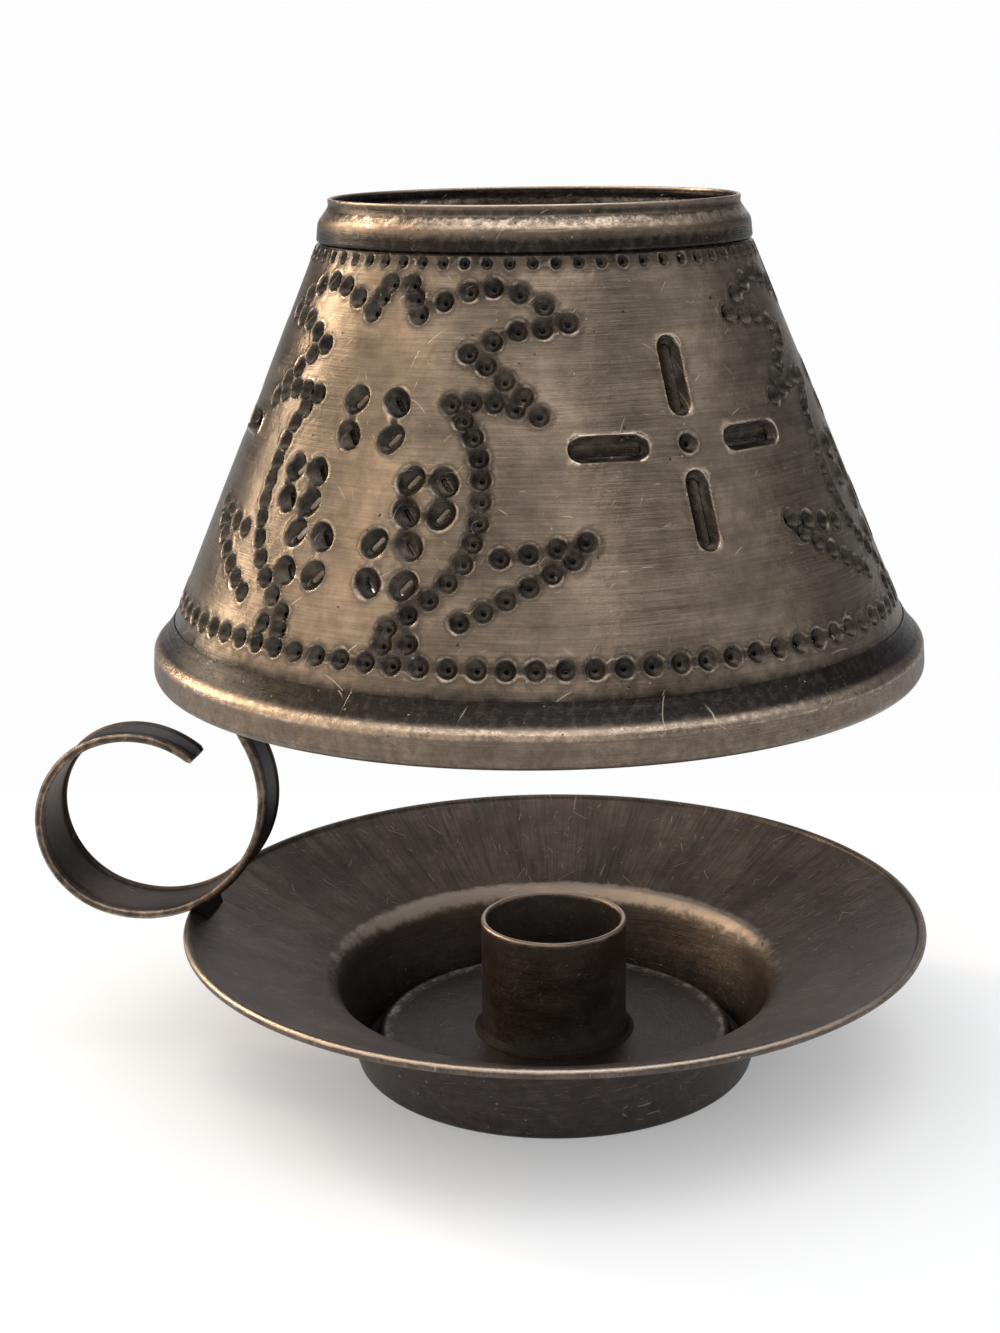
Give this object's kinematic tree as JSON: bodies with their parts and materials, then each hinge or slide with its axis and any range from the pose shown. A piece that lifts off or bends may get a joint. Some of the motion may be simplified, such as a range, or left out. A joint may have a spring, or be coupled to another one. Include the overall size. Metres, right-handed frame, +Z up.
{
  "type": "punched tin candle lantern",
  "caption": "Handheld candle lantern: a drip pan with a candle socket, a scroll strap handle and a lift-off conical shade punched with traditional motifs.",
  "frame": {"origin": "on the candle axis, at the plane of the pan's foot", "axes": "+Z up along the candle socket's bore; the handle points to -X and the front of the shade faces -Y"},
  "size_m": [0.1486, 0.123, 0.1425],
  "materials": {
    "pan_tin": "blackened tin with radial brush marks and a worn bright rim",
    "socket_tin": "blackened tin with a worn bright lip",
    "handle_tin": "blackened tin with bright worn hems",
    "shade_tin": "brushed antique tin with dark patina round each punch mark",
    "wire": "dark drawn wire",
    "solder": "dull, darkened solder"
  },
  "bodies": {
    "base": {"drip_pan": "pan_tin", "candle_socket": "socket_tin", "socket_solder": "solder", "handle_strap": "handle_tin", "handle_solder": "solder", "carrier_ring": "wire", "ring_solder": "solder"},
    "shade": {"shade_cone": "shade_tin", "shade_seam_rivets": "shade_tin", "shade_collar": "shade_tin", "shade_rim_band": "shade_tin", "shade_rim_wire": "wire"}
  },
  "joints": [
    {"name": "shade_lift", "type": "slide", "parent": "base", "child": "shade", "axis": [0, 0, 1], "range_m": [0, 0.06]}
  ]
}
